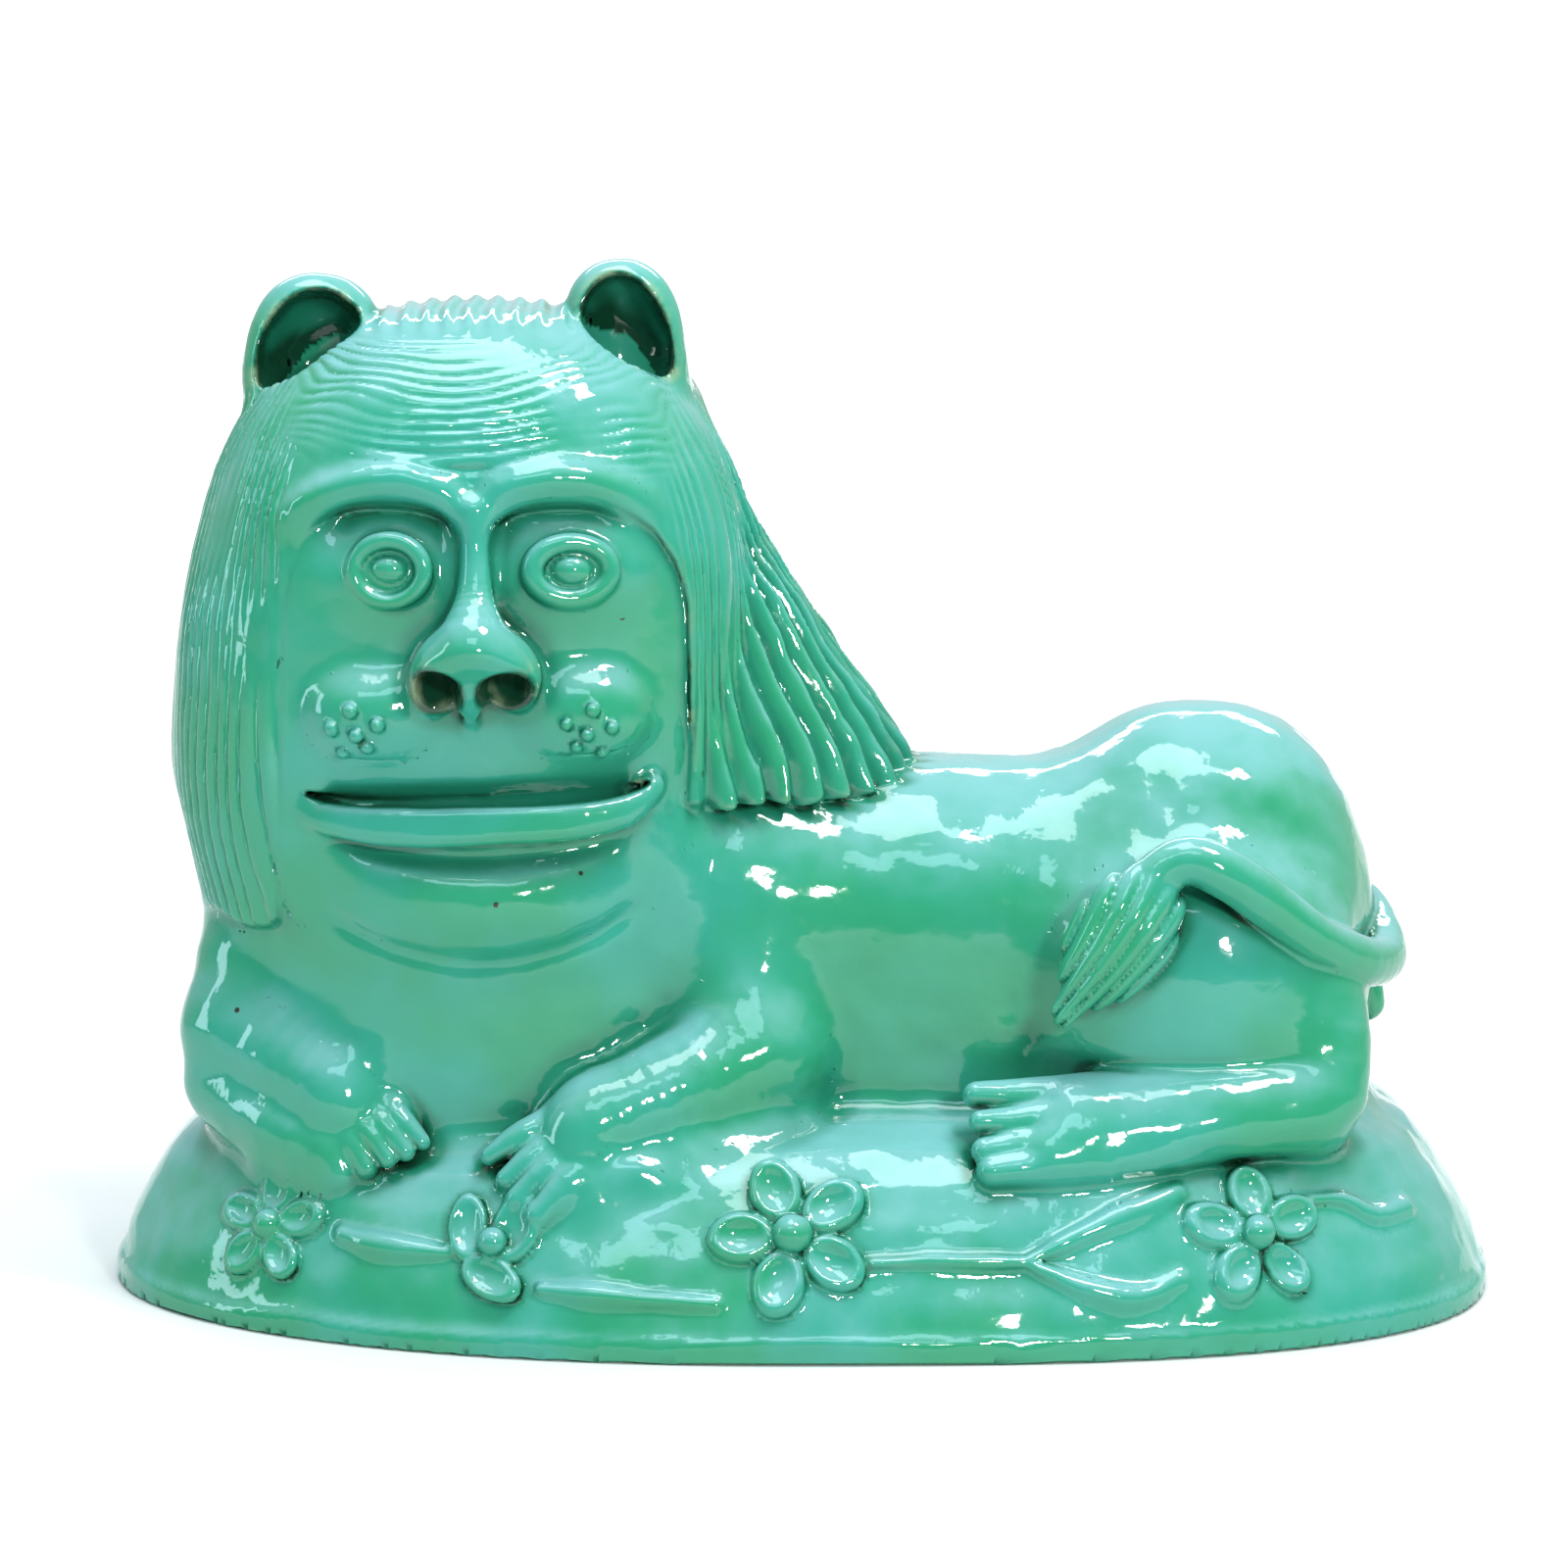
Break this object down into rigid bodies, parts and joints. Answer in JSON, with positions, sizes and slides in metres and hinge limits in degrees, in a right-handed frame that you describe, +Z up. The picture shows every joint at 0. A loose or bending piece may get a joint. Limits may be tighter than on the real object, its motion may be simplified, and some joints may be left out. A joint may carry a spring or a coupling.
{
  "type": "glazed ceramic guardian lion statue",
  "caption": "Hand-modelled lion in glossy green glaze, lying on an oval mound with raised flowers and vines, hollow and open underneath.",
  "frame": {"origin": "centre of the foot ring's outline, on the surface that the statue stands on", "axes": "+X along the mound towards the lion's tail, +Y to the back, away from the face, +Z up"},
  "size_m": [0.352, 0.194, 0.2613],
  "materials": {
    "mound_glaze": "high gloss",
    "body_glaze": "high gloss",
    "hair_glaze": "high gloss",
    "relief_glaze": "high gloss"
  },
  "bodies": {
    "root": {"mound": "mound_glaze", "flower_1_centre": "relief_glaze", "flower_1": "relief_glaze", "flower_2_centre": "relief_glaze", "flower_2": "relief_glaze", "flower_3_centre": "relief_glaze", "flower_3": "relief_glaze", "flower_4_centre": "relief_glaze", "flower_4": "relief_glaze", "flower_5_centre": "relief_glaze", "flower_5": "relief_glaze", "flower_6_centre": "relief_glaze", "flower_6": "relief_glaze", "vine_1": "relief_glaze", "vine_2": "relief_glaze", "vine_3": "relief_glaze", "vine_4": "relief_glaze", "vine_5": "relief_glaze", "chest": "body_glaze", "torso": "body_glaze", "haunch_left": "body_glaze", "haunch_right": "body_glaze", "hind_foot_left": "body_glaze", "hind_foot_right": "body_glaze", "foreleg_left": "body_glaze", "foreleg_right": "body_glaze", "forepaw_left": "body_glaze", "forepaw_right": "body_glaze", "tail": "body_glaze", "tail_tuft": "hair_glaze", "rump_nub": "body_glaze", "head": "body_glaze", "ear_left": "body_glaze", "ear_right": "body_glaze", "crown_hair": "hair_glaze", "mane_left": "hair_glaze", "mane_right": "hair_glaze", "mane_cape": "hair_glaze", "brow_left": "body_glaze", "brow_right": "body_glaze", "eyeball_left": "relief_glaze", "eyeball_right": "relief_glaze", "eyelid_ring_left": "relief_glaze", "eyelid_ring_right": "relief_glaze", "nose": "body_glaze", "muzzle_left": "body_glaze", "muzzle_right": "body_glaze", "lower_lip": "relief_glaze", "whisker_left_1": "relief_glaze", "whisker_right_1": "relief_glaze", "whisker_left_2": "relief_glaze", "whisker_right_2": "relief_glaze", "whisker_left_3": "relief_glaze", "whisker_right_3": "relief_glaze", "whisker_left_4": "relief_glaze", "whisker_right_4": "relief_glaze", "whisker_left_5": "relief_glaze", "whisker_right_5": "relief_glaze", "whisker_left_6": "relief_glaze", "whisker_right_6": "relief_glaze"}
  },
  "joints": []
}
